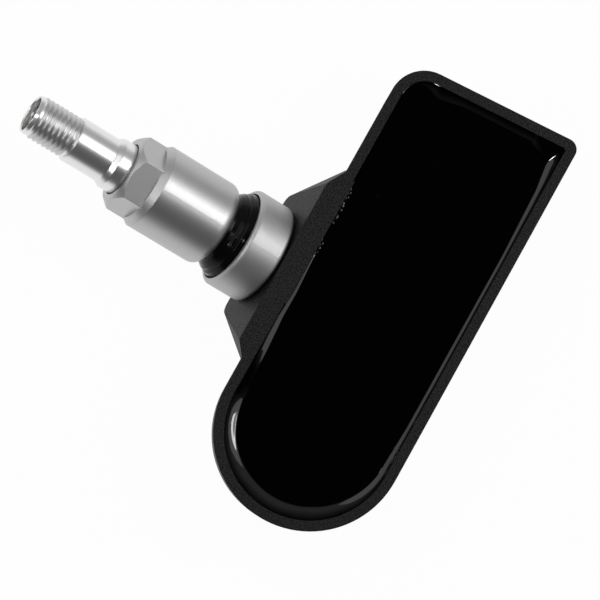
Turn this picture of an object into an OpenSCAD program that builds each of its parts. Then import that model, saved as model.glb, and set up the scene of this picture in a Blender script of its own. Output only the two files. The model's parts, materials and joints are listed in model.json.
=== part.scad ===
// Tyre pressure sensor: a potted wheel housing with a clamp-in valve.
// The flat underside lies on z = 0 and the potted face looks up, along +Z.
// +Y points to the square end, and the valve leaves on the -X side, in the plane y = 0.

/* [Housing] */
// Width of the tray between its two long walls
housing_width = 34; // [30:0.5:40]
// Height from the flat underside to the rim
housing_height = 18.5; // [18:0.1:22]
// From the valve's plane to the centre of the round end
round_end_y = 24.2; // [22:0.2:32]
// From the valve's plane to the square end, on the centre line
square_end_y = 43.2; // [38:0.2:50]
// Angle of the square end, which runs out towards the far wall
square_end_slant = 2.9; // [0:0.1:6]
// Width of the rim, which is the wall of the tray
rim_width = 1.9; // [1.4:0.1:2.4]
// Outer radius of the square end's corner on the valve side
valve_corner_radius = 6.5; // [4:0.5:9]
// Outer radius of the square end's corner on the far side
far_corner_radius = 2; // [1:0.2:4]
// Inner radius of that far corner
far_inner_radius = 0.6; // [0.3:0.1:2]
// Thickness of the tray's floor
floor_thickness = 2; // [1.4:0.1:3]
// Radius round the underside's outer edge
base_edge_radius = 2.5; // [1:0.25:4]

/* [Valve boss] */
// How far the boss stands out from the long wall, at the rim
boss_reach = 1.95; // [1.5:0.05:3]
// Width of the boss's front face at the rim
boss_top_width = 31.6; // [28:0.2:34]
// Width of the boss's front face at its lower edge
boss_bottom_width = 24.8; // [22:0.2:28]
// Length of the front face, measured down its slope
boss_face_height = 15; // [14.5:0.1:16]
// Radius of the front face's lower corners
boss_corner_radius = 2; // [1:0.25:4]
// How much wider the boss is on each side where it meets the wall
boss_flare = 3; // [1:0.25:4]
// How far the boss is shifted towards the square end where it meets the wall
boss_foot_shift = 0.45; // [0:0.05:0.8]
// Thickness of the pad that backs the boss inside the tray
backing_thickness = 0.3; // [0.2:0.1:0.6]
// How far that pad runs from the valve's plane towards the round end
backing_round_reach = 6.4; // [4:0.2:20]
// How far that pad runs from the valve's plane towards the square end
backing_square_reach = 18.4; // [12:0.2:20]

/* [Valve seat] */
// Angle of the valve above the underside
valve_tilt = 20; // [16:0.5:22]
// From the rim down the front face to the valve's axis
valve_drop = 9.5; // [9.4:0.05:9.8]
// Diameter of the stem's spigot in the boss
spigot_diameter = 8; // [7:0.2:8.6]
// Depth of the spigot in the boss
spigot_depth = 4.5; // [3:0.25:5]
// Thickness of the web that the screw clamps
screw_web = 2.5; // [2:0.25:3]
// Width of the pocket that the screw is reached through
pocket_width = 7.8; // [7.4:0.1:9]
// How far the pocket runs past the valve-side wall
pocket_length = 26; // [22:0.5:28]
// Wall of the pocket towards the tray
pocket_wall = 1.5; // [1.2:0.1:2]

/* [Valve stem] */
// Distance from the boss's face to the stem's tip
stem_length = 50; // [48:0.5:60]
// Diameter of the flange that seats on the boss
flange_diameter = 13.6; // [12.4:0.2:14]
// Thickness of that flange
flange_thickness = 1.3; // [1:0.1:1.6]
// Diameter of the threaded body under the nut
body_diameter = 11; // [10.6:0.1:11.4]
// Length of the threaded body from the boss's face
body_length = 24.2; // [22:0.2:24.6]
// Diameter of the shoulder where it leaves the nut
shoulder_diameter = 9.5; // [9.2:0.05:9.7]
// How far the shoulder shows in front of the nut
shoulder_reach = 2.25; // [1.5:0.05:3]
// Length of the cone between the shoulder and the plain stem
shoulder_cone = 1.6; // [1:0.1:2.5]
// Diameter of the plain stem
stem_diameter = 8.5; // [8.2:0.1:9]
// Outside diameter of the cap thread
cap_thread_diameter = 7.75; // [7.6:0.05:8]
// Length of the cap thread
cap_thread_length = 7.6; // [6:0.1:9]
// Length of the chamfer at the tip
tip_chamfer = 0.9; // [0.5:0.1:1.2]
// Width of the flat land at the tip, outside the mouth
tip_land = 0.22; // [0.1:0.02:0.3]
// Diameter of the mouth
mouth_diameter = 6.5; // [6.2:0.05:6.6]
// Length of the cone that leads from the mouth into the bore
mouth_depth = 1.1; // [0.8:0.1:1.6]
// Diameter of the bore that takes the valve core
core_bore = 5.3; // [5.2:0.05:5.5]
// Diameter of the air way behind the core's seat
air_way = 4.4; // [4.2:0.05:4.6]
// Diameter of the bore that the retaining screw enters
screw_bore = 4.05; // [3.9:0.05:4.2]
// Diameter of the narrow air way that joins the two
narrow_way = 3.2; // [2.6:0.1:3.6]

/* [Collar] */
// Gap between the boss and the collar
collar_gap = 0.3; // [0.2:0.05:0.5]
// Length of the collar
collar_length = 7.1; // [6.5:0.1:7.4]
// Outside diameter of the collar
collar_diameter = 19.1; // [18.6:0.1:19.3]
// Inside diameter of the collar's mouth
collar_mouth = 17.3; // [17:0.1:17.6]
// Thickness of the collar's base
collar_base = 2.2; // [2:0.1:2.6]
// Radius of the collar's outer edge at its mouth
collar_lip_radius = 0.8; // [0.4:0.1:0.8]
// Radius of the collar's outer edge at the boss
collar_rear_radius = 0.8; // [0.4:0.1:1.4]

/* [Grommet] */
// Diameter of the grommet's neck where it enters the nut
neck_diameter = 14; // [13.6:0.1:14.4]
// Diameter at the foot of the flare, at the collar's mouth
flare_diameter = 16.7; // [16:0.1:16.9]
// How far the neck runs into the nut
neck_depth = 2.1; // [1.4:0.1:2.6]
// Length of the straight neck that shows before the flare
neck_show = 0.3; // [0.1:0.1:0.6]
// Length of the plain step between the mouth and the flare
flare_step = 0.3; // [0.2:0.1:0.6]
// Radius of the two raised rings on the flare
ring_radius = 0.3; // [0.2:0.05:0.4]
// Shares of the flare's run at which the two rings stand
ring_shares = [0.3, 0.62];

/* [Collar nut] */
// Gap between the collar's mouth and the nut's rear edge
nut_gap = 3.1; // [2.6:0.1:4]
// Outside diameter of the sleeve
sleeve_diameter = 16; // [15.6:0.1:16.6]
// Length of the sleeve, its rounded rear end included
sleeve_length = 14.55; // [12:0.05:16]
// Radius of the rounded rear end
sleeve_rear_radius = 2; // [1:0.1:2.4]
// Length of the cone between the sleeve and the hexagon
sleeve_cone = 1.3; // [0.8:0.1:2]
// Diameter at the cone's small end
sleeve_cone_diameter = 14; // [13.4:0.1:14.4]
// Length of the hexagon
hex_length = 4.6; // [4:0.1:7]
// Width of the hexagon across its flats
hex_across_flats = 12.7; // [12.6:0.1:13.2]
// Angle of one corner of the hexagon about the valve's axis
hex_turn = 21.2; // [0:0.1:60]
// Diameter of the hexagon's flat front ring
hex_front_diameter = 12.3; // [11.6:0.1:12.5]
// Length of the chamfer on the hexagon's corners
hex_chamfer = 1.3; // [0.8:0.1:1.8]
// Radial gap between the nut's front bore and the stem's shoulder
nut_front_gap = 0.3; // [0.15:0.05:0.4]
// Length of the front bore
nut_front_land = 5; // [3.6:0.1:5.6]
// Radial gap round the grommet's neck in the nut
neck_gap = 0.15; // [0.1:0.05:0.3]
// Thickness of the captive washer that presses on the neck
washer_thickness = 1; // [0.6:0.1:1.4]
// Radial gap round the threaded body in that washer
washer_gap = 0.1; // [0.05:0.05:0.2]

/* [Valve core] */
// How far the plug's top lies below the tip
plug_depth = 0.9; // [0.6:0.1:1.6]
// Length of the plug's threaded part
plug_length = 5.6; // [5:0.1:6.4]
// Length of the two flats at the plug's top
plug_flat_length = 1.6; // [1:0.1:2]
// Distance across those flats
plug_flats = 3; // [2.8:0.1:3.4]
// Length of the slim barrel behind the plug
barrel_length = 5.5; // [4.5:0.1:7]
// Diameter of the slim barrel
barrel_diameter = 3.6; // [3.4:0.1:3.8]
// Length of the gasket round the barrel
gasket_length = 1.4; // [1:0.1:2]
// Diameter of the pin
pin_diameter = 1; // [0.8:0.05:1.1]
// How far the pin's head lies below the tip
pin_depth = 0.3; // [0.2:0.05:0.5]
// Diameter of the collar on the pin that the spring pushes
pin_collar_diameter = 2.2; // [2:0.05:2.25]
// Thickness of that collar
pin_collar_thickness = 0.5; // [0.4:0.1:0.8]
// How far the pin's end stands behind the seal
pin_tail = 0.6; // [0.4:0.1:1]
// Travel of the pin
pin_travel = 1.2; // [0.8:0.1:1.4]
// Diameter of the well in the plug that holds the spring
spring_well = 2.5; // [2.4:0.05:2.6]
// Depth of that well below the flats
spring_well_depth = 4.2; // [3.8:0.1:4.6]
// Wire diameter of the spring
spring_wire = 0.28; // [0.2:0.02:0.32]
// Turns of the spring
spring_turns = 6; // [4:1:8]
// Diameter of the seal under the barrel
seal_diameter = 3.4; // [3.2:0.1:3.7]
// Thickness of that seal
seal_thickness = 1; // [0.8:0.1:1.4]

/* [Retaining screw] */
// Thread diameter of the screw
screw_diameter = 3.95; // [3.6:0.05:4]
// Radial gap round the screw where it passes through the web
screw_web_gap = 0.2; // [0.1:0.05:0.3]
// Length of the screw under its head
screw_length = 10; // [8:0.5:12]
// Diameter of the head
screw_head_diameter = 6.8; // [6:0.1:7.2]
// Thickness of the head
screw_head_thickness = 2.8; // [2.4:0.1:3.2]
// Width of the socket across its flats
screw_socket = 3; // [2.5:0.25:3.25]
// Depth of the socket
screw_socket_depth = 1.6; // [1.2:0.1:2]
// Diameter of the air hole through the screw
screw_air_hole = 1.5; // [1:0.1:1.8]

/* [Circuit board] */
// From the rim down to the board's underside
board_depth = 5.9; // [5.3:0.1:6.3]
// Thickness of the board
board_thickness = 1.2; // [0.8:0.1:1.6]
// Gap between the board's edge and the tray's wall
board_gap = 0.6; // [0.5:0.1:1.2]
// Diameter of the two posts under the board's square end
post_diameter = 3.4; // [3:0.1:4]
// Diameter of the pins on those posts
post_pin_diameter = 1.6; // [1.2:0.1:2]
// Radial gap round the pins in the board
post_pin_gap = 0.05; // [0.03:0.01:0.1]
// From the centre line to each post
post_x = 11; // [9:0.5:11.5]
// From the square end's centre back to the posts
post_back = 6; // [5:0.5:9]

/* [Battery] */
// Diameter of the coin cell
cell_diameter = 24.5; // [20:0.5:26]
// Thickness of the coin cell
cell_thickness = 5; // [3.2:0.1:5.4]
// Diameter of the raised cap on its top
cell_cap_diameter = 21; // [18:0.5:22]
// Height of that cap
cell_cap_height = 0.6; // [0.4:0.1:0.8]
// Gap between the cell and the board, which the tabs bridge
cell_board_gap = 1.4; // [1:0.1:1.6]
// From the round end's centre towards the valve, to the cell's centre
cell_shift = 0.6; // [0:0.1:1.2]
// Thickness of the contact tabs
tab_thickness = 0.3; // [0.2:0.05:0.4]
// Width of the contact tabs
tab_width = 4; // [3:0.25:6]
// Length of the tabs on the cell's faces
tab_length = 8; // [6:0.5:10]

/* [Electronics] */
// Side of the square pressure sensor
sensor_side = 6.4; // [5:0.2:8]
// Height of the pressure sensor
sensor_height = 1.9; // [1.5:0.1:2.4]
// From the valve's plane to the pressure sensor's centre
sensor_y = 22; // [16:0.5:28]
// Outside diameter of the tube between the sensor and the port
port_tube_diameter = 4.2; // [3.6:0.1:5]
// Inside diameter of that tube
port_tube_bore = 1.8; // [1.2:0.1:2.2]
// Height of the ring on the floor that holds the tube
port_ring_height = 2; // [1:0.2:3]
// Wall of that ring
port_ring_wall = 1; // [0.8:0.1:1.6]
// Diameter of the filter disc in the underside
filter_diameter = 6; // [5:0.2:8]
// Thickness of the filter disc
filter_thickness = 0.3; // [0.2:0.05:0.4]
// Depth of the recess that holds the filter disc
filter_recess = 0.7; // [0.6:0.05:0.9]
// Side of the square transmitter chip
transmitter_side = 5; // [4:0.2:7]
// Height of the transmitter chip
transmitter_height = 0.9; // [0.7:0.1:1.4]
// Length of the crystal's can
crystal_length = 5; // [3.2:0.2:7]
// Width of the crystal's can
crystal_width = 3.2; // [2.5:0.1:4]
// Height of the crystal's can
crystal_height = 1.2; // [0.8:0.1:1.6]
// From the centre line to the crystal
crystal_x = 5; // [3:0.5:7]
// From the centre line to the coil, on the valve's side
coil_x = 6; // [4:0.5:9]
// From the valve's plane to the crystal and the coil, and to the first capacitor
row_y = 10; // [8:0.5:12]
// Length of the wake-up coil's ferrite core
coil_length = 11; // [8:0.5:14]
// Side of the ferrite core's square end plates
coil_plate = 3; // [2.4:0.1:3.2]
// Thickness of each end plate
coil_plate_thickness = 0.9; // [0.6:0.1:1.2]
// Side of the ferrite core between its plates
coil_core = 1.4; // [1:0.1:1.6]
// Thickness of the copper winding
winding_thickness = 0.55; // [0.4:0.05:0.6]
// Length of the aerial strap
strap_length = 34; // [26:1:38]
// Height of the aerial strap above the board
strap_height = 2.8; // [2:0.1:3]
// From the centre line to the aerial strap
strap_x = 10; // [8.5:0.5:11.5]
// Width of the aerial strap
strap_width = 1.4; // [1:0.1:2]
// Thickness of the aerial strap
strap_thickness = 0.5; // [0.3:0.05:0.6]
// Length of one small capacitor
capacitor_length = 2; // [1.6:0.1:2.4]
// Width of one small capacitor
capacitor_width = 1.25; // [0.8:0.05:1.6]
// Height of one small capacitor
capacitor_height = 0.9; // [0.5:0.1:1.4]
// Number of small capacitors in the row
capacitor_count = 6; // [3:1:8]
// Spacing of the small capacitors
capacitor_pitch = 2.3; // [2:0.1:3]

/* [Potting] */
// Depth of the potting's surface below the rim
potting_depth = 0.6; // [0.3:0.1:1]

/* [Hidden] */

$fn = 72;
// Facets of the small circles inside a hull
hull_fn = 32;
// Overshoot of a cut past the face it opens
cut = 1;
// Clearance between a fixed piece and its seat, all round
fit_gap = 0.05;
// Clearance between the pin and the hole it slides in, all round
slide_gap = 0.06;
// Clearance between pieces of two bodies where they face each other
face_gap = 0.05;
// How far the base steps in under the wall above it
base_step = 0.04;
// Thickness of the slices that a hull joins
slice = 0.01;

half_width = housing_width / 2;
cavity_half_width = half_width - rim_width;
board_z = housing_height - board_depth;
board_top = board_z + board_thickness;
potting_top = housing_height - potting_depth;

// The boss's front face meets the rim here, and the valve's axis crosses the face here
boss_face_x = -half_width - boss_reach;
valve_x = boss_face_x - valve_drop * sin(valve_tilt);
valve_z = housing_height - valve_drop * cos(valve_tilt);

// Stations along the valve's axis, from the boss's face towards the tip
collar_front = collar_gap + collar_length;
nut_rear = collar_front + nut_gap;
sleeve_front = nut_rear + sleeve_length;
hex_rear = sleeve_front + sleeve_cone;
nut_front = hex_rear + hex_length;
shoulder_end = nut_front + shoulder_reach;
cone_end = shoulder_end + shoulder_cone;
thread_end = stem_length - tip_chamfer;
thread_start = thread_end - cap_thread_length;
nut_bore_front = nut_front - nut_front_land;
neck_end = nut_rear + neck_depth;
washer_front = neck_end + face_gap + washer_thickness;
neck_start = nut_rear - neck_show;

hex_corner_radius = hex_across_flats / 2 / cos(30);
neck_recess_radius = neck_diameter / 2 + neck_gap;

// Stations of the valve core
plug_top = stem_length - plug_depth;
plug_thread_top = plug_top - plug_flat_length;
plug_end = plug_thread_top - plug_length;
barrel_end = plug_end - barrel_length;
well_bottom = plug_thread_top - spring_well_depth;
pin_top = stem_length - pin_depth;
seal_top = barrel_end - face_gap;
seal_end = seal_top - seal_thickness;
pin_end = seal_end - pin_tail;
pin_collar_top = plug_thread_top - fit_gap;
pin_collar_end = pin_collar_top - pin_collar_thickness;
spring_length = pin_collar_end - well_bottom - 2 * face_gap;
air_way_end = pin_end - pin_travel - cut;
gasket_end = plug_end - gasket_length;

// The screw's seat in the pocket, and how deep the screw goes into the stem
screw_seat = -spigot_depth - screw_web;
screw_bore_end = screw_seat + screw_length + cut;
pocket_radius = pocket_width / 2;
pocket_end_x = -half_width + pocket_length;
pocket_start_x = -cavity_half_width + pocket_wall;

post_y = square_end_y - post_back;
cell_y = -round_end_y + cell_shift;
cell_top = board_z - cell_board_gap;
cell_bottom = cell_top - cell_thickness;
tab_leg_x = cell_diameter / 2 + fit_gap;

function square_end_at(x, inset) = square_end_y + x * tan(square_end_slant) - inset / cos(square_end_slant);

// Puts what follows on the valve's axis: z runs out to the tip, x runs up the boss's face
module on_valve() {
    translate([valve_x, 0, valve_z]) rotate([0, valve_tilt - 90, 0]) children();
}

// Outline of the tray, drawn in by inset on every side
module tray_outline(inset, far_radius) {
    side = half_width - inset;
    near_radius = valve_corner_radius - inset;
    near_x = -side + near_radius;
    near_y = square_end_at(near_x, inset + near_radius);
    far_x = side - far_radius;
    far_y = square_end_at(far_x, inset + far_radius);
    lean = [-sin(square_end_slant), cos(square_end_slant)];
    translate([0, -round_end_y]) circle(r = side);
    translate([near_x, near_y]) circle(r = near_radius);
    translate([far_x, far_y]) circle(r = far_radius);
    polygon([
        [-side, -round_end_y], [side, -round_end_y], [side, far_y],
        [far_x, far_y] + far_radius * lean, [near_x, near_y] + near_radius * lean, [-side, near_y]
    ]);
}

module cavity_outline() {
    difference() {
        tray_outline(rim_width, far_inner_radius);
        translate([-cavity_half_width - cut, -backing_round_reach])
            square([backing_thickness + cut, backing_round_reach + backing_square_reach]);
    }
}

// The tray's outer block: a straight wall over a base whose edge steps in along a quarter circle
module tray_block() {
    steps = 5;
    translate([0, 0, base_edge_radius]) linear_extrude(housing_height - base_edge_radius)
        tray_outline(0, far_corner_radius);
    hull() for (i = [0:steps]) {
        angle = 90 * i / steps;
        translate([0, 0, base_edge_radius * (1 - sin(angle))]) linear_extrude(slice)
            tray_outline(base_step + base_edge_radius * (1 - cos(angle)), far_corner_radius);
    }
}

module boss_face_outline() {
    top = valve_drop;
    bottom = valve_drop - boss_face_height;
    lower = boss_bottom_width / 2 - boss_corner_radius;
    polygon([[top, -boss_top_width / 2], [top, boss_top_width / 2], [bottom + boss_corner_radius, 0]]);
    for (side = [-1, 1]) translate([bottom + boss_corner_radius, side * lower])
        circle(r = boss_corner_radius, $fn = hull_fn);
}

// The boss narrows downwards and widens from its front face to the wall
module boss() {
    root_x = -half_width + rim_width / 2;
    root_share = (boss_reach + rim_width / 2) / boss_reach;
    root_half_width = boss_top_width / 2 + boss_flare * root_share;
    root_lower = boss_bottom_width / 2 + boss_flare / 2;
    root_z = base_edge_radius;
    hull() {
        on_valve() translate([0, 0, -slice]) linear_extrude(slice) boss_face_outline();
        translate([root_x, boss_foot_shift * root_share, 0]) rotate([90, 0, 90]) linear_extrude(slice) polygon([
            [-root_half_width, housing_height], [root_half_width, housing_height],
            [root_lower, root_z], [-root_lower, root_z]
        ]);
    }
}

// The rib across the tray that carries the screw's pocket and the board
module bridge() {
    rib_width = pocket_width + 2 * pocket_wall;
    intersection() {
        translate([-half_width, -rib_width / 2, floor_thickness / 2])
            cube([housing_width, rib_width, board_z - floor_thickness / 2]);
        translate([0, 0, floor_thickness / 2]) linear_extrude(housing_height)
            tray_outline(rim_width / 2, far_inner_radius);
    }
}

module screw_pocket() {
    reach = housing_width * 2;
    on_valve() translate([0, 0, screw_seat - housing_height])
        cylinder(r = pocket_radius, h = housing_height);
    intersection() {
        on_valve() translate([-reach + pocket_radius, -pocket_radius, screw_seat - reach])
            cube([reach, pocket_width, reach]);
        translate([pocket_start_x, -pocket_radius, -cut])
            cube([pocket_end_x - pocket_start_x, pocket_width, housing_height]);
    }
}

module board_posts() {
    for (side = [-1, 1]) translate([side * post_x, post_y, floor_thickness / 2]) {
        cylinder(d = post_diameter, h = board_z - floor_thickness / 2);
        cylinder(d = post_pin_diameter, h = board_top - floor_thickness / 2);
    }
}

module port_ring() {
    translate([0, sensor_y, floor_thickness / 2])
        cylinder(d = port_tube_diameter + 2 * (fit_gap + port_ring_wall),
                 h = floor_thickness / 2 + port_ring_height);
}

module port_cut() {
    translate([0, sensor_y, floor_thickness])
        cylinder(d = port_tube_diameter + 2 * fit_gap, h = port_ring_height + cut);
    translate([0, sensor_y, -cut]) cylinder(d = port_tube_bore, h = floor_thickness + 2 * cut);
    translate([0, sensor_y, -cut]) cylinder(d = filter_diameter + 2 * fit_gap, h = filter_recess + cut);
}

module housing() {
    color([0.09, 0.09, 0.09]) difference() {
        union() {
            difference() {
                union() {
                    tray_block();
                    boss();
                }
                translate([0, 0, floor_thickness]) linear_extrude(housing_height) cavity_outline();
            }
            bridge();
            board_posts();
            port_ring();
        }
        screw_pocket();
        port_cut();
        on_valve() translate([0, 0, -spigot_depth])
            cylinder(d = spigot_diameter + 2 * fit_gap, h = spigot_depth + cut);
        on_valve() translate([0, 0, screw_seat - cut])
            cylinder(d = screw_diameter + 2 * screw_web_gap, h = screw_web + 2 * cut);
    }
}

// What the potting flows round: the tray's own ribs and every piece it holds
module potted_pieces() {
    bridge();
    board_posts();
    port_ring();
    circuit_board();
    coin_cell();
    battery_tab_negative();
    battery_tab_positive();
    pressure_sensor_chip();
    translate([0, sensor_y, floor_thickness]) cylinder(d = port_tube_diameter, h = board_z - floor_thickness);
    transmitter_chip();
    crystal();
    coil_envelope();
    aerial_strap();
    capacitors();
}

module potting() {
    color([0.02, 0.02, 0.02]) difference() {
        translate([0, 0, floor_thickness]) linear_extrude(potting_top - floor_thickness) cavity_outline();
        potted_pieces();
    }
}

module circuit_board() {
    color([0.05, 0.3, 0.15]) translate([0, 0, board_z]) difference() {
        linear_extrude(board_thickness) tray_outline(rim_width + board_gap, far_inner_radius);
        for (side = [-1, 1]) translate([side * post_x, post_y, -cut])
            cylinder(d = post_pin_diameter + 2 * post_pin_gap, h = board_thickness + 2 * cut);
    }
}

module coin_cell() {
    color([0.75, 0.75, 0.77]) translate([0, cell_y, cell_bottom]) {
        cylinder(d = cell_diameter, h = cell_thickness - cell_cap_height);
        cylinder(d = cell_cap_diameter, h = cell_thickness);
    }
}

module battery_tab_negative() {
    color([0.8, 0.78, 0.7]) translate([0, cell_y, cell_top]) {
        translate([-tab_width / 2, -tab_length / 2, 0]) cube([tab_width, tab_length, tab_thickness]);
        translate([-tab_width / 2, tab_length / 2 - tab_thickness, 0])
            cube([tab_width, tab_thickness, cell_board_gap]);
    }
}

module battery_tab_positive() {
    reach = tab_leg_x + tab_thickness;
    color([0.8, 0.78, 0.7]) translate([0, cell_y, 0]) {
        translate([reach - tab_length, -tab_width / 2, cell_bottom - tab_thickness])
            cube([tab_length, tab_width, tab_thickness]);
        translate([tab_leg_x, -tab_width / 2, cell_bottom - tab_thickness])
            cube([tab_thickness, tab_width, board_z - cell_bottom + tab_thickness]);
    }
}

module pressure_sensor_chip() {
    color([0.12, 0.12, 0.13]) translate([-sensor_side / 2, sensor_y - sensor_side / 2, board_z - sensor_height])
        cube([sensor_side, sensor_side, sensor_height]);
}

module port_tube() {
    height = board_z - sensor_height - floor_thickness;
    color([0.55, 0.56, 0.58]) translate([0, sensor_y, floor_thickness]) difference() {
        cylinder(d = port_tube_diameter, h = height);
        translate([0, 0, -cut]) cylinder(d = port_tube_bore, h = height + 2 * cut);
    }
}

module port_filter() {
    color([0.92, 0.92, 0.9]) translate([0, sensor_y, filter_recess - filter_thickness])
        cylinder(d = filter_diameter, h = filter_thickness);
}

module transmitter_chip() {
    color([0.1, 0.1, 0.11]) translate([-transmitter_side / 2, sensor_y - transmitter_side / 2, board_top])
        cube([transmitter_side, transmitter_side, transmitter_height]);
}

module crystal() {
    color([0.8, 0.8, 0.82]) translate([crystal_x - crystal_width / 2, row_y - crystal_length / 2, board_top])
        cube([crystal_width, crystal_length, crystal_height]);
}

module coil_envelope() {
    translate([-coil_x - coil_plate / 2, row_y - coil_length / 2, board_top])
        cube([coil_plate, coil_length, coil_plate]);
}

// A bar across the coil's axis, from one end plate to the other
module coil_bar(side, margin) {
    translate([-coil_x - side / 2, row_y - coil_length / 2 + margin, board_top + coil_plate / 2 - side / 2])
        cube([side, coil_length - 2 * margin, side]);
}

module coil_core_bar() {
    color([0.2, 0.2, 0.21]) {
        coil_bar(coil_core, 0);
        for (end = [0, coil_length - coil_plate_thickness])
            translate([-coil_x - coil_plate / 2, row_y - coil_length / 2 + end, board_top])
            cube([coil_plate, coil_plate_thickness, coil_plate]);
    }
}

module coil_winding() {
    color([0.72, 0.42, 0.2]) difference() {
        coil_bar(coil_core + 2 * winding_thickness, coil_plate_thickness);
        coil_bar(coil_core, 0);
    }
}

module aerial_strap() {
    color([0.8, 0.7, 0.45]) translate([strap_x - strap_width / 2, -strap_length / 2, board_top]) {
        translate([0, 0, strap_height - strap_thickness]) cube([strap_width, strap_length, strap_thickness]);
        for (end = [0, strap_length - strap_thickness])
            translate([0, end, 0]) cube([strap_width, strap_thickness, strap_height]);
    }
}

module capacitors() {
    color([0.6, 0.45, 0.3]) for (i = [0:capacitor_count - 1])
        translate([-capacitor_length / 2, -row_y - i * capacitor_pitch, board_top])
        cube([capacitor_length, capacitor_width, capacitor_height]);
}

module retaining_screw() {
    head_end = screw_seat - screw_head_thickness;
    color([0.6, 0.6, 0.62]) on_valve() difference() {
        union() {
            translate([0, 0, head_end]) cylinder(d = screw_head_diameter, h = screw_head_thickness);
            translate([0, 0, screw_seat]) cylinder(d = screw_diameter, h = screw_length);
        }
        translate([0, 0, head_end - cut])
            cylinder(d = screw_air_hole, h = screw_head_thickness + screw_length + 2 * cut);
        translate([0, 0, head_end - cut])
            cylinder(r = screw_socket / 2 / cos(30), h = screw_socket_depth + cut, $fn = 6);
    }
}

// Cuts a round edge of this radius off the corner of a profile at [x, y]
module edge_cut(x, y, radius, below) {
    flip = below ? 1 : 0;
    translate([x, y]) mirror([0, flip]) difference() {
        translate([-radius, -radius]) square(radius + cut);
        translate([-radius, -radius]) circle(r = radius);
    }
}

module valve_stem() {
    body_r = body_diameter / 2;
    shoulder_r = shoulder_diameter / 2;
    stem_r = stem_diameter / 2;
    thread_r = cap_thread_diameter / 2;
    tip_r = mouth_diameter / 2 + tip_land;
    color([0.85, 0.85, 0.86]) on_valve() difference() {
        rotate_extrude() polygon([
            [0, -spigot_depth], [spigot_diameter / 2, -spigot_depth], [spigot_diameter / 2, 0],
            [flange_diameter / 2, 0], [flange_diameter / 2, flange_thickness],
            [body_r, flange_thickness], [body_r, body_length - (body_r - shoulder_r)],
            [shoulder_r, body_length], [shoulder_r, shoulder_end], [stem_r, cone_end],
            [stem_r, thread_start], [thread_r, thread_start], [thread_r, thread_end],
            [tip_r, stem_length], [0, stem_length]
        ]);
        translate([0, 0, -spigot_depth - cut]) cylinder(d = screw_bore, h = spigot_depth + cut + screw_bore_end);
        cylinder(d = narrow_way, h = stem_length);
        translate([0, 0, air_way_end]) cylinder(d = air_way, h = stem_length);
        translate([0, 0, gasket_end]) cylinder(d1 = air_way, d2 = core_bore, h = gasket_length);
        translate([0, 0, plug_end]) cylinder(d = core_bore, h = stem_length);
        translate([0, 0, stem_length - mouth_depth])
            cylinder(d1 = core_bore, d2 = mouth_diameter, h = mouth_depth);
        translate([0, 0, stem_length]) cylinder(d = mouth_diameter, h = cut);
    }
}

module collar() {
    outer = collar_diameter / 2;
    color([0.72, 0.72, 0.73]) on_valve() rotate_extrude() difference() {
        translate([body_diameter / 2 + fit_gap, collar_gap])
            square([outer - body_diameter / 2 - fit_gap, collar_length]);
        translate([0, collar_gap + collar_base]) square([collar_mouth / 2, collar_length]);
        translate([0, 0]) square([flange_diameter / 2 + fit_gap, flange_thickness]);
        edge_cut(outer, collar_front, collar_lip_radius, false);
        edge_cut(outer, collar_gap, collar_rear_radius, true);
    }
}

module grommet() {
    bore = body_diameter / 2 + fit_gap;
    seat = collar_mouth / 2 - fit_gap;
    neck = neck_diameter / 2;
    foot = flare_diameter / 2;
    base = collar_gap + collar_base;
    run = neck_start - collar_front;
    color([0.05, 0.05, 0.05]) on_valve() rotate_extrude() {
        polygon([
            [bore, base], [seat, base], [seat, collar_front - flare_step], [foot, collar_front],
            [foot, collar_front + flare_step], [neck, neck_start], [neck, neck_end], [bore, neck_end]
        ]);
        for (share = ring_shares) translate([
            foot + (neck - foot) * share - ring_radius / 2, collar_front + run * share
        ]) circle(r = ring_radius);
    }
}

module thrust_washer() {
    color([0.7, 0.7, 0.72]) on_valve() translate([0, 0, neck_end + face_gap]) difference() {
        cylinder(r = neck_recess_radius - fit_gap, h = washer_thickness);
        translate([0, 0, -cut]) cylinder(d = body_diameter + 2 * washer_gap, h = washer_thickness + 2 * cut);
    }
}

module collar_nut() {
    sleeve_r = sleeve_diameter / 2;
    thread_r = body_diameter / 2 + fit_gap;
    shoulder_r = shoulder_diameter / 2 + nut_front_gap;
    front_r = hex_front_diameter / 2;
    reach = hex_corner_radius + cut;
    chamfer_run = hex_chamfer * (reach - front_r) / (hex_corner_radius - front_r);
    recess_end = washer_front + face_gap;
    color([0.72, 0.72, 0.73]) on_valve() difference() {
        union() {
            rotate_extrude() difference() {
                polygon([
                    [0, nut_rear], [sleeve_r, nut_rear], [sleeve_r, sleeve_front],
                    [sleeve_cone_diameter / 2, hex_rear], [0, hex_rear]
                ]);
                edge_cut(sleeve_r, nut_rear, sleeve_rear_radius, true);
            }
            intersection() {
                rotate([0, 0, hex_turn]) translate([0, 0, sleeve_front - cut])
                    cylinder(r = hex_corner_radius, h = nut_front - sleeve_front + cut, $fn = 6);
                rotate_extrude() polygon([
                    [0, sleeve_front - 2 * cut], [reach, sleeve_front - 2 * cut],
                    [reach, nut_front - chamfer_run], [front_r, nut_front], [0, nut_front]
                ]);
            }
        }
        rotate_extrude() polygon([
            [0, nut_rear - cut], [neck_recess_radius, nut_rear - cut], [neck_recess_radius, recess_end],
            [thread_r, recess_end], [thread_r, nut_bore_front], [shoulder_r, nut_bore_front],
            [shoulder_r, nut_front + cut], [0, nut_front + cut]
        ]);
    }
}

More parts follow.
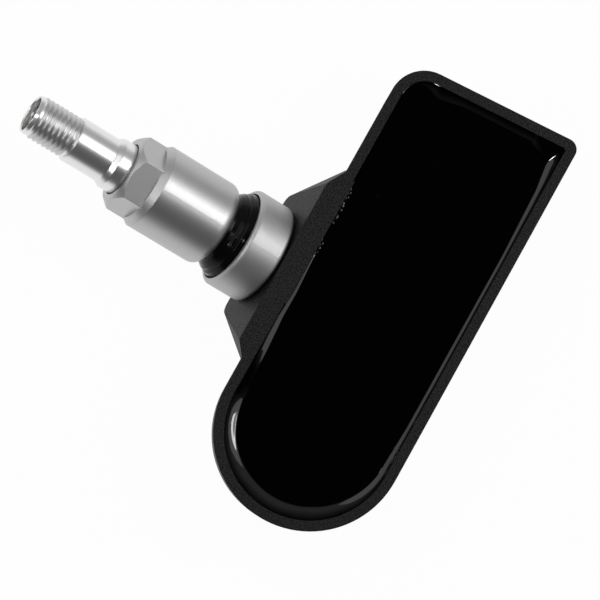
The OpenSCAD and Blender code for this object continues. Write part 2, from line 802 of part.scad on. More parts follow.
module core_plug() {
    plug_r = core_bore / 2 - fit_gap;
    pin_hole = pin_diameter / 2 + slide_gap;
    color([0.82, 0.81, 0.77]) on_valve() difference() {
        union() {
            translate([0, 0, plug_end]) cylinder(r = plug_r, h = plug_length);
            intersection() {
                translate([0, 0, plug_thread_top]) cylinder(r = plug_r - fit_gap, h = plug_flat_length);
                translate([-core_bore, -plug_flats / 2, plug_thread_top])
                    cube([2 * core_bore, plug_flats, plug_flat_length]);
            }
            translate([0, 0, barrel_end]) cylinder(d = barrel_diameter, h = barrel_length);
        }
        translate([0, 0, barrel_end - cut]) cylinder(r = pin_hole, h = stem_length);
        translate([0, 0, well_bottom]) cylinder(d = spring_well, h = stem_length);
    }
}

module core_gasket() {
    color([0.85, 0.2, 0.15]) on_valve() translate([0, 0, gasket_end]) difference() {
        cylinder(d1 = air_way - 2 * fit_gap, d2 = core_bore - 2 * fit_gap, h = gasket_length);
        translate([0, 0, -cut]) cylinder(d = barrel_diameter, h = gasket_length + 2 * cut);
    }
}

module core_pin() {
    color([0.82, 0.81, 0.77]) on_valve() {
        translate([0, 0, pin_end]) cylinder(d = pin_diameter, h = pin_top - pin_end);
        translate([0, 0, pin_collar_end]) cylinder(d = pin_collar_diameter, h = pin_collar_thickness);
    }
}

module core_seal() {
    color([0.1, 0.1, 0.1]) on_valve() translate([0, 0, seal_end]) difference() {
        cylinder(d = seal_diameter, h = seal_thickness);
        translate([0, 0, -cut]) cylinder(d = pin_diameter, h = seal_thickness + 2 * cut);
    }
}

// A coil of round wire, swept along a helix with its ends inside the given length
module coil_spring(mean_radius, wire, turns, length) {
    sides = 8;
    steps = 20 * turns;
    rise = length - wire;
    points = [for (i = [0:steps]) let (turn = 360 * turns * i / steps)
        for (j = [0:sides - 1]) let (a = 360 * j / sides, r = mean_radius + wire / 2 * cos(a))
        [r * cos(turn), r * sin(turn), wire / 2 + rise * i / steps + wire / 2 * sin(a)]];
    wall = [for (i = [0:steps - 1]) for (j = [0:sides - 1]) let (k = (j + 1) % sides)
        [i * sides + j, (i + 1) * sides + j, (i + 1) * sides + k, i * sides + k]];
    start = [for (j = [0:sides - 1]) j];
    finish = [for (j = [sides - 1:-1:0]) steps * sides + j];
    polyhedron(points, concat(wall, [start, finish]));
}

module core_spring() {
    mean_radius = (spring_well - 2 * fit_gap - spring_wire) / 2;
    color([0.8, 0.8, 0.82]) on_valve() translate([0, 0, well_bottom + face_gap])
        coil_spring(mean_radius, spring_wire, spring_turns, spring_length);
}

housing();
potting();
circuit_board();
coin_cell();
battery_tab_negative();
battery_tab_positive();
pressure_sensor_chip();
port_tube();
port_filter();
transmitter_chip();
crystal();
coil_core_bar();
coil_winding();
aerial_strap();
capacitors();
retaining_screw();
valve_stem();
collar();
grommet();
thrust_washer();
collar_nut();
core_plug();
core_gasket();
core_pin();
core_seal();
core_spring();
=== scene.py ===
import json
import math

import bmesh
import bpy
from mathutils import Matrix, Vector, noise


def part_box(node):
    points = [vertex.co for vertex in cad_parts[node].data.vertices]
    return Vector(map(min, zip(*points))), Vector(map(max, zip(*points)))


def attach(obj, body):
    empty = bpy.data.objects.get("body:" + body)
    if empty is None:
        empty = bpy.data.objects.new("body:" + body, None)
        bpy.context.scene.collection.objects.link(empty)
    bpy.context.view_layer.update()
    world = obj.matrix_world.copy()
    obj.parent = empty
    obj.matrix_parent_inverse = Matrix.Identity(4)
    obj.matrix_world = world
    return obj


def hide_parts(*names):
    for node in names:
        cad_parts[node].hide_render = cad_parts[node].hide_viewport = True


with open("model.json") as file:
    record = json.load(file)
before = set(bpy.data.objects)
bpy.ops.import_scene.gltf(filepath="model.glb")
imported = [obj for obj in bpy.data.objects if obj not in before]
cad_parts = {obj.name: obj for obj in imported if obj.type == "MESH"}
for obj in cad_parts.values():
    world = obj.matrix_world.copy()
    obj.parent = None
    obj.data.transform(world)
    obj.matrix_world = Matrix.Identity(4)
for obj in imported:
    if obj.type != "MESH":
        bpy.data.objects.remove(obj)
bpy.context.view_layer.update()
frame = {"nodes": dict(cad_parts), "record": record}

MM = 0.001
nodes = frame["nodes"]
mounts = {mount["name"]: mount for mount in frame["record"]["mounts"]}

# The valve's own frame: z runs out to the tip, x runs up the boss's face, and z = 0 is the boss's face
CAP_THREAD_MIDDLE = 45.3 * MM
valve_axis = Vector(mounts["valve_tip"]["axis"]).normalized()
valve_tilt = math.asin(valve_axis.z)
valve_origin = Vector(mounts["valve_tip"]["pos_m"]) - valve_axis * CAP_THREAD_MIDDLE
on_valve = Matrix.Translation(valve_origin) @ Matrix.Rotation(valve_tilt - math.pi / 2, 4, "Y")

# The stem's two threads and its tip, in millimetres: radii, pitches, and stations from the boss's face
CAP_THREAD_ROOT = 3.62
CAP_THREAD_CREST = 3.875
CAP_THREAD_PITCH = 0.94
CAP_THREAD_START = 41.5
CAP_THREAD_LEAD = 0.15
CAP_THREAD_END = 49.35
BODY_THREAD_ROOT = 5.05
BODY_THREAD_CREST = 5.5
BODY_THREAD_PITCH = 1.0
BODY_THREAD_START = 1.6
BODY_THREAD_END = 23.8
BODY_THREAD_FADE = 24
TIP_RADIUS = 3.5
TIP = 50

# How fast the ridges grow from nothing, and how fast they shrink to the tip
RUN_OUT = 1.1
TIP_SLOPE = 0.45

# The section of a thread's ridge. Its foot, brow and crest are shares of the pitch or of its height.
THREAD_STEPS = 64
THREAD_SINK = 0.08 * MM
HALF_FOOT = 0.46
HALF_BROW = 0.17
HALF_CREST = 0.05
BROW_HEIGHT = 0.9

# The stem's section, as (radius, station) in millimetres
STEM_OUTLINE = [
    (4, -4.5), (4, 0),
    (6.8, 0), (6.8, 1.3),
    (BODY_THREAD_ROOT, 1.3), (BODY_THREAD_ROOT, 23.4), (4.8, 24.2),
    (4.8, 33.25), (4.2, 34.25), (4.2, 41.35), (4.1, 41.5),
    (CAP_THREAD_ROOT, 41.62), (CAP_THREAD_ROOT, 49.12), (3.74, 49.3),
    (TIP_RADIUS, TIP), (3.34, TIP), (3.2, 49.8), (3.0, 47.4), (2.65, 46.6),
    (2.65, 41.9), (2.2, 40.5), (2.2, 32), (1.6, 32), (1.6, 4.0), (2.025, 4.0), (2.025, -4.5),
]
STEM_BEVEL = 0.07 * MM
STEM_BEVEL_DEG = 25

# The rubber seal, in millimetres. Each ring on its flare is a station, a height and a half width.
SEAL_BORE = 5.56
SEAL_BASE = [(SEAL_BORE, 2.5), (8.6, 2.5), (8.6, 7.1), (8.42, 7.3), (8.38, 7.45)]
SEAL_END = 12.6
FLARE_FOOT = (8.35, 7.7)
FLARE_NECK = (7.0, 10.2)
FLARE_STEPS = 56
FLARE_RINGS = ((8.24, 0.1, 0.2), (8.72, -0.14, 0.16), (9.14, 0.1, 0.2))

# Turned pieces: steps round them, and how close to an edge the points that keep a side's shading flat stand
STEM_STEPS = 128
SEAL_STEPS = 160
BRACE = 0.16
WELD = 0.002 * MM

# The tray, as the solids have it
RIM = 1.9 * MM
wall_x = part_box("housing")[1].x - RIM
resin_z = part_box("potting")[1].z
ROUND_Y = -24.2 * MM
END_Y = 43.2 * MM
SLANT = math.radians(2.9)
FAR_RADIUS = 0.6 * MM
NEAR_RADIUS = 4.6 * MM
PAD = 0.3 * MM
PAD_START = -6.4 * MM
PAD_END = 18.4 * MM
PAD_BLEND = 5 * MM

# The resin's bead along the wall, in millimetres. It falls from the wall to a foot, at BEAD_WALL_SLOPE at
# first and then faster. Its width, and its share of the full height, change round the tray: by y along the
# long walls, by x along the square end, and by the angle round the round end.
BEAD_RISE = 0.275
BEAD_MOST = 0.54
BEAD_FOOT = 0.16
BEAD_WALL_SLOPE = 0.48
VALVE_SIDE_BEAD = ((-24.2, 2.1), (-17.6, 1.5), (-8, 0.85), (3.5, 0.25), (4.5, 0.12))
VALVE_SIDE_SHARE = ((-24.2, 0.5), (-22, 0.3), (-19, 0.35), (-15.5, 0.9), (-13, 1), (3.5, 1), (5, 0))
FAR_SIDE_BEAD = ((-24.2, 1.2), (-15, 0.8), (20, 0.75), (33, 1.15), (38, 1.8))
ROUND_END_BEAD = ((-180, 1.95), (-165, 2.05), (-150, 2.1), (-110, 2.4), (-60, 2.4), (-30, 2.0), (0, 1.2))
ROUND_END_SHARE = ((-180, 0.5), (-170, 0.85), (-160, 1))
SQUARE_END_BEAD = ((-14, 0.12), (-9, 2.2), (-4, 1.4), (9, 1.5), (12.5, 3.4))
BEAD_WAVE = 0.05
BEAD_WAVE_SIZE = 4 * MM

# Specks where the resin has crept up the pad's wall, in millimetres: from where to where in y, how far from
# the wall, their size and height, and how much of the noise is cut off
SPECK_START = 3.5
SPECK_END = 17.2
SPECK_REACH = 0.36
SPECK_SIZE = 0.45 * MM
SPECK_RISE = 0.5
SPECK_LEAST = 0.08

# The loops of the resin's surface: steps in millimetres from the wall to the tray's middle line
LOOP_STEPS = [0.05] * 4 + [0.12] * 22 + [0.3, 0.6, 1.2, 2.2, 3]
LONG_EDGE = 3 * MM
LONG_EDGE_CUTS = 140
MIDDLE_END = 28 * MM
SKIN_GAP = 0.01 * MM
SKIN_LIFT = 0.02 * MM
SKIN_SINK = 0.05 * MM

# The studio. Each change is (from, to, value at from, value at to): the floor's glow by distance in metres,
# and the surround's overhead, horizon and sides by the direction's z, z and y.
FLOOR_SIZE = 4
FLOOR_DROP = 0.02 * MM
FLOOR_TONE = (0.85, 0.85, 0.85, 1)
FLOOR_GLOW_SHARE = 0.97
FLOOR_GLOW = (0.09, 0.5, 1.0, 0.5)
OVERHEAD = (0.87, 0.977, 1.0, 0.02)
HORIZON = (0.0, 0.2, 0.25, 0.0)
SIDES = (-0.5, 0.6, 0.12, 0.5)

# The lamps: name, direction from the object, distance, width, height and brightness as a colour value
LAMP_AIM = (-0.02, 0, 0.015)
LAMPS = (
    ("key", (0.62, 0.335, 0.7), 0.7, 0.42, 0.5, 1.1),
    ("key_core", (0.62, 0.335, 0.71), 0.68, 0.17, 0.3, 2.5),
    ("key_spot", (0.511, 0.32, 0.797), 0.67, 0.045, 0.24, 13.5),
    ("panel", (-0.62, 0.12, 0.775), 0.72, 0.46, 0.7, 0.95),
    ("glint_near", (-0.52, -0.38, 0.766), 0.7, 0.05, 0.05, 60.0),
    ("glint_far", (-0.23, -0.012, 0.97), 0.7, 0.08, 0.035, 50.0),
)

# The camera, found from the housing's rim and the valve's axis in the photograph
CAMERA_PLACE = (-18.69, -39.740, 424.93)
CAMERA_FORWARD = (0.01388631, 0.08616603, -0.99618401)
CAMERA_UP = (-0.48985514, 0.86912059, 0.0683472)
CAMERA_LENS = 139.49
CAMERA_SENSOR = 36
CAMERA_CLIP = 0.01


def add(tree, kind, **values):
    """Adds a node and sets its sockets or its settings by name."""
    node = tree.nodes.new(kind)
    for key, value in values.items():
        if key in node.inputs:
            node.inputs[key].default_value = value
        else:
            setattr(node, key, value)
    return node


def ramp(tree, value, change, kind="LINEAR"):
    """A value that changes as (from, to, value at from, value at to) says."""
    node = add(tree, "ShaderNodeMapRange", interpolation_type=kind)
    tree.links.new(value, node.inputs["Value"])
    for name, number in zip(("From Min", "From Max", "To Min", "To Max"), change):
        node.inputs[name].default_value = number
    return node.outputs["Result"]


def along_stem(tree, place, across):
    """Turns coordinates to the valve's frame and scales them across it, so that a grain becomes rings."""
    turn = tree.nodes.new("ShaderNodeMapping")
    turn.vector_type = "TEXTURE"
    turn.inputs["Location"].default_value = valve_origin
    turn.inputs["Rotation"].default_value = (0, valve_tilt - math.pi / 2, 0)
    tree.links.new(place, turn.inputs["Vector"])
    squeeze = tree.nodes.new("ShaderNodeMapping")
    squeeze.inputs["Scale"].default_value = (across, across, 1)
    tree.links.new(turn.outputs["Vector"], squeeze.inputs["Vector"])
    return squeeze.outputs["Vector"]


def grained(name, color, roughness, metallic=0.0, grain=0.1, depth=0.01, mottle=0.1, spread=0.06,
            ior=1.5, detail=4.0, along_valve=None, soft_edge=0.0, shine=0.5, patch=22, sparkle=0.0):
    """A finish with a fine bump, a slight change of tone and a slight change of gloss.

    grain, depth and soft_edge are in millimetres: the grain's size, its bump and the radius of shaded edges.
    mottle and spread are how far the tone and the roughness change, and patch is a patch of tone in grains.
    sparkle is how far the shine changes with the tone. along_valve makes turned rings of the grain.
    """
    material = bpy.data.materials.new(name)
    material.use_nodes = True
    tree = material.node_tree
    shader = tree.nodes["Principled BSDF"]
    link = tree.links.new
    shader.inputs["Metallic"].default_value = metallic
    shader.inputs["IOR"].default_value = ior
    shader.inputs["Specular IOR Level"].default_value = shine
    place = tree.nodes.new("ShaderNodeTexCoord").outputs["Object"]

    fine = add(tree, "ShaderNodeTexNoise", Scale=1 / (grain * MM), Detail=detail, Roughness=0.6)
    link(along_stem(tree, place, along_valve) if along_valve else place, fine.inputs["Vector"])
    patches = add(tree, "ShaderNodeTexNoise", Scale=1 / (grain * patch * MM), Detail=3.0, Roughness=0.5)
    link(place, patches.inputs["Vector"])

    tone = tree.nodes.new("ShaderNodeMix")
    tone.data_type = "RGBA"
    tone.inputs["A"].default_value = [c * (1 - mottle) for c in color] + [1]
    tone.inputs["B"].default_value = [min(1, c * (1 + mottle)) for c in color] + [1]
    link(patches.outputs["Fac"], tone.inputs["Factor"])
    link(tone.outputs["Result"], shader.inputs["Base Color"])

    gloss = (0, 1, max(0.01, roughness - spread), roughness + spread)
    link(ramp(tree, fine.outputs["Fac"], gloss), shader.inputs["Roughness"])
    if sparkle:
        flecks = (0.35, 0.65, shine * (1 - sparkle), shine * (1 + sparkle))
        link(ramp(tree, patches.outputs["Fac"], flecks), shader.inputs["Specular IOR Level"])

    bump = add(tree, "ShaderNodeBump", Strength=1.0, Distance=depth * MM)
    link(fine.outputs["Fac"], bump.inputs["Height"])
    link(bump.outputs["Normal"], shader.inputs["Normal"])
    if soft_edge:
        edge = add(tree, "ShaderNodeBevel", Radius=soft_edge * MM)
        edge.samples = 4
        link(edge.outputs["Normal"], bump.inputs["Normal"])
    return material


# The finishes: colour, roughness and what else sets each one apart
FINISHES = {
    "housing_plastic": dict(color=(0.0055, 0.0055, 0.0056), roughness=0.5, grain=0.24, depth=0.05,
                            mottle=0.55, spread=0.14, soft_edge=0.22, shine=0.22, patch=1.0, sparkle=0.8),
    "potting_resin": dict(color=(0.0006, 0.0006, 0.0007), roughness=0.045, grain=3.0, depth=0.01,
                          mottle=0.2, spread=0.01, detail=1.0),
    "board_laminate": dict(color=(0.03, 0.2, 0.09), roughness=0.35, grain=0.2, depth=0.01, mottle=0.2),
    "cell_steel": dict(color=(0.62, 0.62, 0.63), roughness=0.25, metallic=1, grain=0.1, depth=0.003),
    "contact_metal": dict(color=(0.68, 0.64, 0.52), roughness=0.3, metallic=1, grain=0.1, depth=0.003),
    "chip_plastic": dict(color=(0.04, 0.04, 0.045), roughness=0.5, grain=0.06, depth=0.006),
    "tube_rubber": dict(color=(0.35, 0.36, 0.38), roughness=0.5, grain=0.2, depth=0.01),
    "filter_membrane": dict(color=(0.82, 0.82, 0.8), roughness=0.8, grain=0.05, depth=0.02),
    "ferrite": dict(color=(0.1, 0.1, 0.105), roughness=0.5, grain=0.08, depth=0.01),
    "copper_wire": dict(color=(0.62, 0.3, 0.14), roughness=0.35, metallic=1, grain=0.1, depth=0.02),
    "capacitor_ceramic": dict(color=(0.45, 0.32, 0.2), roughness=0.4, grain=0.1, depth=0.004),
    "screw_steel": dict(color=(0.55, 0.55, 0.56), roughness=0.28, metallic=1, grain=0.08, depth=0.004),
    "stem_metal": dict(color=(0.78, 0.78, 0.78), roughness=0.28, metallic=1, grain=0.09, depth=0.0003,
                       mottle=0.03, spread=0.01, along_valve=0.02),
    "thread_metal": dict(color=(0.56, 0.56, 0.56), roughness=0.3, metallic=1, grain=0.09, depth=0.001,
                         mottle=0.04, spread=0.05, along_valve=0.02),
    "satin_aluminium": dict(color=(0.5, 0.5, 0.5), roughness=0.42, metallic=1, grain=0.09, depth=0.006,
                            mottle=0.04, spread=0.05, soft_edge=0.2),
    "collar_satin": dict(color=(0.5, 0.5, 0.5), roughness=0.5, metallic=1, grain=0.12, depth=0.008,
                         mottle=0.05, spread=0.05, soft_edge=0.2),
    "grommet_rubber": dict(color=(0.002, 0.002, 0.002), roughness=0.13, grain=0.5, depth=0.004,
                           mottle=0.2, spread=0.03, shine=0.16, ior=1.4),
    "core_nickel": dict(color=(0.66, 0.645, 0.61), roughness=0.25, metallic=1, grain=0.08, depth=0.003),
    "gasket_plastic": dict(color=(0.6, 0.08, 0.06), roughness=0.4, grain=0.1, depth=0.004),
}
materials = {name: grained(name, **finish) for name, finish in FINISHES.items()}

# Nodes whose finish differs from their slot's
LOOKS = {"collar": "collar_satin"}

for subpart in frame["record"]["subparts"]:
    solid = nodes[subpart["node"]]
    solid.data.materials.clear()
    solid.data.materials.append(materials[LOOKS.get(subpart["node"], subpart["material_slot"])])


def finish_mesh(name, bm, body, slot, sharp_deg=40, look=None):
    """Turns a bmesh into a smooth piece that rides on a body, with its sharp edges kept."""
    bmesh.ops.recalc_face_normals(bm, faces=bm.faces)
    for face in bm.faces:
        face.smooth = True
    for edge in bm.edges:
        edge.smooth = len(edge.link_faces) == 2 and edge.calc_face_angle(0) < math.radians(sharp_deg)
    mesh = bpy.data.meshes.new(name)
    bm.to_mesh(mesh)
    bm.free()
    piece = bpy.data.objects.new(name, mesh)
    bpy.context.scene.collection.objects.link(piece)
    mesh.materials.append(materials[look or slot])
    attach(piece, body)
    return piece


def round_edges(bm, radius, least_deg):
    """Bevels every edge whose faces turn by more than least_deg."""
    edges = [edge for edge in bm.edges if len(edge.link_faces) == 2
             and edge.calc_face_angle(0) > math.radians(least_deg)]
    bmesh.ops.bevel(bm, geom=edges, offset=radius, offset_type="OFFSET", affect="EDGES",
                    segments=3, profile=0.5, material=-1, clamp_overlap=True)


def braced(points):
    """Adds a point near both ends of each long side, which keeps its smooth shading flat between them."""
    corners = []
    for (radius, station), (next_radius, next_station) in zip(points, points[1:] + points[:1]):
        corners.append((radius, station))
        out, up = next_radius - radius, next_station - station
        length = math.hypot(out, up)
        if length > 4 * BRACE:
            for share in (BRACE / length, 1 - BRACE / length):
                corners.append((radius + out * share, station + up * share))
    return corners


def spin_profile(points, steps):
    """Spins a closed profile of (radius, station) in millimetres round the z axis."""
    bm = bmesh.new()
    corners = [bm.verts.new((radius * MM, 0, station * MM)) for radius, station in braced(points)]
    edges = [bm.edges.new(pair) for pair in zip(corners, corners[1:] + corners[:1])]
    bmesh.ops.spin(bm, geom=corners + edges, cent=(0, 0, 0), axis=(0, 0, 1), dvec=(0, 0, 0),
                   angle=2 * math.pi, steps=steps, use_merge=True, use_duplicate=False)
    bmesh.ops.remove_doubles(bm, verts=bm.verts, dist=WELD)
    bmesh.ops.recalc_face_normals(bm, faces=bm.faces)
    return bm


def thread_ridge(root, crest, start, end, pitch, limit):
    """A helical ridge with a rounded V section, in metres. limit(station) is its largest radius there."""
    foot, brow, flat = pitch * HALF_FOOT, pitch * HALF_BROW, pitch * HALF_CREST
    base = root - THREAD_SINK
    brow_radius = crest * BROW_HEIGHT + root * (1 - BROW_HEIGHT)
    profile = [(base, -foot), (root, -foot), (brow_radius, -brow), (crest, -flat),
               (crest, flat), (brow_radius, brow), (root, foot), (base, foot)]
    turns = (end - start - 2 * foot) / pitch
    count = round(THREAD_STEPS * turns)
    bm = bmesh.new()
    corners = [bm.verts.new((radius, 0, start + foot + offset)) for radius, offset in profile]
    edges = [bm.edges.new(pair) for pair in zip(corners, corners[1:] + corners[:1])]
    bmesh.ops.spin(bm, geom=corners + edges, cent=(0, 0, 0), axis=(0, 0, 1),
                   dvec=(0, 0, pitch / THREAD_STEPS), angle=2 * math.pi * count / THREAD_STEPS,
                   steps=count, use_merge=False, use_duplicate=False)
    bmesh.ops.holes_fill(bm, edges=[edge for edge in bm.edges if edge.is_boundary], sides=8)
    for vert in bm.verts:
        radius = vert.co.xy.length
        most = max(base, min(radius, limit(vert.co.z)))
        vert.co.x *= most / radius
        vert.co.y *= most / radius
    return bm


def turned_stem():
    """The stem with its flange, thread roots, shoulder, mouth and stepped bore."""
    bm = spin_profile(STEM_OUTLINE, STEM_STEPS)
    round_edges(bm, STEM_BEVEL, STEM_BEVEL_DEG)
    bm.transform(on_valve)
    piece = finish_mesh("turned_stem", bm, "root", "stem_metal")
    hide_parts("valve_stem")


def cap_thread():
    """The thread at the tip, which grows from the stem and shrinks to the mouth's chamfer."""
    def limit(station):
        at_tip = TIP_RADIUS * MM + (TIP * MM - station) * TIP_SLOPE
        at_start = CAP_THREAD_ROOT * MM + (station - CAP_THREAD_START * MM) * RUN_OUT
        return min(at_tip, at_start)

    bm = thread_ridge(CAP_THREAD_ROOT * MM, CAP_THREAD_CREST * MM, (CAP_THREAD_START - CAP_THREAD_LEAD) * MM,
                      CAP_THREAD_END * MM, CAP_THREAD_PITCH * MM, limit)
    bm.transform(on_valve)
    finish_mesh("cap_thread", bm, "root", "stem_metal", sharp_deg=70, look="thread_metal")


def body_thread():
    """The thread that the nut runs on, which fades out below the shoulder."""
    def limit(station):
        return BODY_THREAD_ROOT * MM + (BODY_THREAD_FADE * MM - station) * RUN_OUT

    bm = thread_ridge(BODY_THREAD_ROOT * MM, BODY_THREAD_CREST * MM, BODY_THREAD_START * MM,
                      BODY_THREAD_END * MM, BODY_THREAD_PITCH * MM, limit)
    bm.transform(on_valve)
    finish_mesh("body_thread", bm, "root", "stem_metal", sharp_deg=30)


def rubber_seal():
    """The grommet, with two soft rings and a groove between them on its flare."""
    flare = []
    for i in range(FLARE_STEPS + 1):
        station = FLARE_FOOT[1] + (FLARE_NECK[1] - FLARE_FOOT[1]) * i / FLARE_STEPS
        radius = FLARE_FOOT[0] + (FLARE_NECK[0] - FLARE_FOOT[0]) * i / FLARE_STEPS
        for ring, height, width in FLARE_RINGS:
            radius += height * math.exp(-((station - ring) / width) ** 2)
        flare.append((radius, station))
    outline = SEAL_BASE + flare + [(FLARE_NECK[0], SEAL_END), (SEAL_BORE, SEAL_END)]
    bm = spin_profile(outline, SEAL_STEPS)
    bm.transform(on_valve)
    piece = finish_mesh("rubber_seal", bm, "root", "grommet_rubber", sharp_deg=50)
    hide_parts("grommet")


def arc(x, y, radius, start, stop, steps):
    """Points of an arc, with angles in degrees."""
    turns = [math.radians(start + (stop - start) * i / steps) for i in range(steps + 1)]
    return [(x + radius * math.cos(turn), y + radius * math.sin(turn)) for turn in turns]


def end_wall_at(x, inset):
    """Where the slanting square end's wall stands at x, drawn in by inset."""
    return END_Y + x * math.tan(SLANT) - inset / math.cos(SLANT)


def tray_inside():
    """The inside of the tray's wall, with the pad that backs the boss."""
    far_x = wall_x - FAR_RADIUS
    near_x = -wall_x + NEAR_RADIUS
    lean = math.degrees(SLANT)
    corners = arc(0, ROUND_Y, wall_x, 180, 360, 160)
    corners += arc(far_x, end_wall_at(far_x, RIM + FAR_RADIUS), FAR_RADIUS, 0, 90 + lean, 10)
    corners += arc(near_x, end_wall_at(near_x, RIM + NEAR_RADIUS), NEAR_RADIUS, 90 + lean, 180, 36)
    corners += [(-wall_x, PAD_END), (-wall_x + PAD, PAD_END),
                (-wall_x + PAD, PAD_START), (-wall_x, PAD_START)]
    return corners


def between(table, value):
    """Reads a table of (value, result) pairs, with straight steps between them."""
    for (start, first), (end, last) in zip(table, table[1:]):
        if value <= end:
            share = max(0, (value - start) / (end - start))
            return first + (last - first) * share
    return table[-1][1]


def bead(distance, width):
    """How high a bead of this width stands at a distance from its wall, in millimetres."""
    share = distance / width
    fall = 1 - BEAD_WALL_SLOPE * share - (1 - BEAD_WALL_SLOPE) * share ** 2
    if fall < BEAD_FOOT:
        fall = max(0, fall + BEAD_FOOT) ** 2 / (4 * BEAD_FOOT)
    return min(BEAD_MOST, BEAD_RISE * width) * fall


def nearest_wall(place):
    """The distance to a long wall or the round end, with its bead's width and share of the full height."""
    if place.y < ROUND_Y:
        turn = math.degrees(math.atan2(place.y - ROUND_Y, place.x))
        distance = wall_x - math.hypot(place.x, place.y - ROUND_Y)
        return distance, between(ROUND_END_BEAD, turn), between(ROUND_END_SHARE, turn)
    y = place.y / MM
    if place.x > 0:
        return wall_x - place.x, between(FAR_SIDE_BEAD, y), 1
    pad = PAD * min(max(0.5 + (place.y - PAD_START) / PAD_BLEND, 0), 1) if place.y < PAD_END else 0
    return wall_x + place.x - pad, between(VALVE_SIDE_BEAD, y), between(VALVE_SIDE_SHARE, y)


def climb(place):
    """How far the resin stands above its flat middle, in metres."""
    across, width, share = nearest_wall(place)
    end = (end_wall_at(place.x, RIM) - place.y) * math.cos(SLANT)
    near_x, far_x = -wall_x + NEAR_RADIUS, wall_x - FAR_RADIUS
    for x, radius, outward in ((near_x, NEAR_RADIUS, -1), (far_x, FAR_RADIUS, 1)):
        y = end_wall_at(x, RIM + radius)
        if (place.x - x) * outward > 0 and place.y > y:
            across = end = radius - math.hypot(place.x - x, place.y - y)
    across, end = max(0, across) / MM, max(0, end) / MM
    rise = bead(across, width) * share
    end_rise = bead(end, between(SQUARE_END_BEAD, place.x / MM))
    if place.x > 0:
        rise = (rise ** 3 + end_rise ** 3) ** (1 / 3)
    else:
        rise = max(rise, end_rise)
    rise *= 1 + BEAD_WAVE * noise.noise(place / BEAD_WAVE_SIZE)
    if place.x < 0 and across < SPECK_REACH and SPECK_START < place.y / MM < SPECK_END:
        rise += SPECK_RISE * max(0, noise.noise(place / SPECK_SIZE) - SPECK_LEAST)
    return min(rise, BEAD_MOST) * MM


def resin_skin():
    """The resin's surface. Loops of edges are drawn in from the wall towards the tray's middle line."""
    bm = bmesh.new()
    corners = [bm.verts.new((x, y, resin_z)) for x, y in tray_inside()]
    wall = [bm.edges.new(pair) for pair in zip(corners, corners[1:] + corners[:1])]
    straight = [edge for edge in wall if edge.calc_length() > LONG_EDGE]
    bmesh.ops.subdivide_edges(bm, edges=straight, cuts=LONG_EDGE_CUTS)
    loop = bm.edges[:]
    depth = 0

    def draw_in(verts, step):
        share = step / (wall_x - depth)
        for vert in verts:
            aim = Vector((0, min(max(vert.co.y, ROUND_Y), MIDDLE_END), vert.co.z))
            vert.co = vert.co.lerp(aim, share)

    draw_in(bm.verts, SKIN_GAP)
    for step in LOOP_STEPS:
        made = bmesh.ops.extrude_edge_only(bm, edges=loop)["geom"]
        loop = [item for item in made if isinstance(item, bmesh.types.BMEdge)
                and all(vert in made for vert in item.verts)]
        draw_in({vert for edge in loop for vert in edge.verts}, step * MM)
        depth += step * MM
    bmesh.ops.holes_fill(bm, edges=loop, sides=0)
    for vert in bm.verts:
        vert.co.z = resin_z + SKIN_LIFT + climb(Vector((vert.co.x, vert.co.y, 0)))
    outer = [edge for edge in bm.edges if edge.is_boundary]
    for item in bmesh.ops.extrude_edge_only(bm, edges=outer)["geom"]:
        if isinstance(item, bmesh.types.BMVert):
            item.co.z = resin_z - SKIN_SINK
    bmesh.ops.holes_fill(bm, edges=[edge for edge in bm.edges if edge.is_boundary], sides=0)
    finish_mesh("resin_skin", bm, "root", "potting_resin", sharp_deg=60)


def background(tree):
    """1 for the rays that should meet a pale backdrop: the camera's, and those off metal or through glass."""
    rays = tree.nodes.new("ShaderNodeLightPath")
    seen = None
    for kind in ("Is Camera Ray", "Is Glossy Ray", "Is Transmission Ray"):
        most = add(tree, "ShaderNodeMath", operation="MAXIMUM")
        tree.links.new(rays.outputs[kind], most.inputs[0])
        if seen:
            tree.links.new(seen, most.inputs[1])
        seen = most.outputs[0]
    return seen


def pale_floor():
    """A plain floor, which glows white to the camera and keeps a part of the object's shadow."""
    bpy.ops.mesh.primitive_plane_add(size=FLOOR_SIZE, location=(0, 0, -FLOOR_DROP))
    floor = bpy.context.object
    floor.name = "studio_floor"
    white = bpy.data.materials.new("studio_white")
    white.use_nodes = True
    tree = white.node_tree
    link = tree.links.new
    tree.nodes.clear()
    out = tree.nodes.new("ShaderNodeOutputMaterial")
    paint = add(tree, "ShaderNodeBsdfDiffuse", Color=FLOOR_TONE)
    glow = add(tree, "ShaderNodeEmission", Color=(1, 1, 1, 1))
    place = tree.nodes.new("ShaderNodeTexCoord")
    distance = add(tree, "ShaderNodeVectorMath", operation="LENGTH")
    link(place.outputs["Object"], distance.inputs[0])
    link(ramp(tree, distance.outputs["Value"], FLOOR_GLOW, "SMOOTHSTEP"), glow.inputs["Strength"])
    share = add(tree, "ShaderNodeMath", operation="MULTIPLY")
    share.inputs[1].default_value = FLOOR_GLOW_SHARE
    link(background(tree), share.inputs[0])
    blend = tree.nodes.new("ShaderNodeMixShader")
    link(share.outputs[0], blend.inputs["Fac"])
    link(paint.outputs[0], blend.inputs[1])
    link(glow.outputs[0], blend.inputs[2])
    link(blend.outputs[0], out.inputs["Surface"])
    floor.data.materials.append(white)


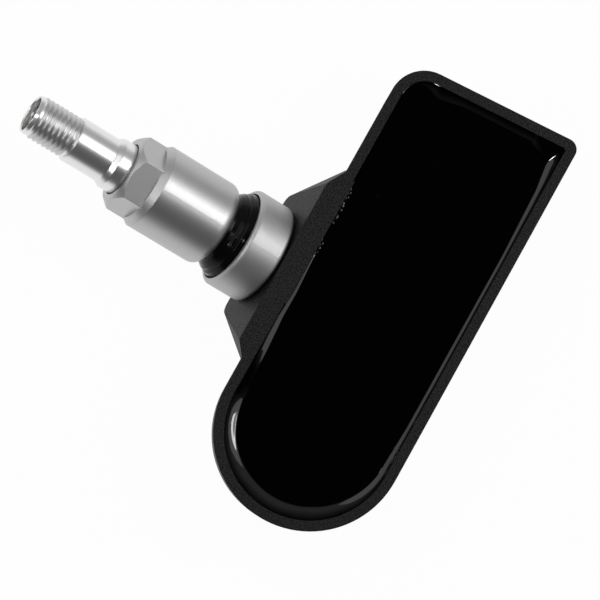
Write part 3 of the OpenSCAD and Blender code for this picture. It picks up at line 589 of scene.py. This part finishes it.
def surround():
    """A soft surround: pale at the sides and the horizon, and dark overhead, where the resin mirrors it."""
    world = bpy.data.worlds.new("studio")
    bpy.context.scene.world = world
    world.use_nodes = True
    tree = world.node_tree
    link = tree.links.new
    tree.nodes.clear()
    out = tree.nodes.new("ShaderNodeOutputWorld")
    view = tree.nodes.new("ShaderNodeTexCoord")
    split = tree.nodes.new("ShaderNodeSeparateXYZ")
    link(view.outputs["Generated"], split.inputs["Vector"])
    level = add(tree, "ShaderNodeMath", operation="MULTIPLY_ADD")
    link(ramp(tree, split.outputs["Z"], OVERHEAD), level.inputs[0])
    link(ramp(tree, split.outputs["Y"], SIDES, "SMOOTHSTEP"), level.inputs[1])
    link(ramp(tree, split.outputs["Z"], HORIZON, "SMOOTHSTEP"), level.inputs[2])
    sky = tree.nodes.new("ShaderNodeBackground")
    link(level.outputs[0], sky.inputs["Strength"])
    link(sky.outputs[0], out.inputs["Surface"])


def lamp(name, direction, distance, width, height, radiance):
    """A soft rectangular lamp that looks at the object, with its height across the valve."""
    data = bpy.data.lights.new(name, "AREA")
    data.shape = "RECTANGLE"
    data.size = width
    data.size_y = height
    data.energy = radiance * width * height * math.pi
    light = bpy.data.objects.new(name, data)
    aim = Vector(direction).normalized()
    along = (valve_axis - aim * valve_axis.dot(aim)).normalized()
    turn = Matrix((along, aim.cross(along), aim)).transposed()
    light.matrix_world = Matrix.Translation(Vector(LAMP_AIM) + aim * distance) @ turn.to_4x4()
    bpy.context.scene.collection.objects.link(light)


def camera():
    """The photograph's view."""
    forward = Vector(CAMERA_FORWARD).normalized()
    right = forward.cross(Vector(CAMERA_UP)).normalized()
    up = right.cross(forward).normalized()
    data = bpy.data.cameras.new("camera")
    data.sensor_width = CAMERA_SENSOR
    data.lens = CAMERA_LENS
    data.clip_start = CAMERA_CLIP
    eye = bpy.data.objects.new("camera", data)
    turn = Matrix((right, up, -forward)).transposed()
    eye.matrix_world = Matrix.Translation(Vector(CAMERA_PLACE) * MM) @ turn.to_4x4()
    bpy.context.scene.collection.objects.link(eye)
    bpy.context.scene.camera = eye


turned_stem()
cap_thread()
body_thread()
rubber_seal()
resin_skin()

bpy.context.scene.view_settings.view_transform = "Standard"
pale_floor()
surround()
for settings in LAMPS:
    lamp(*settings)
camera()
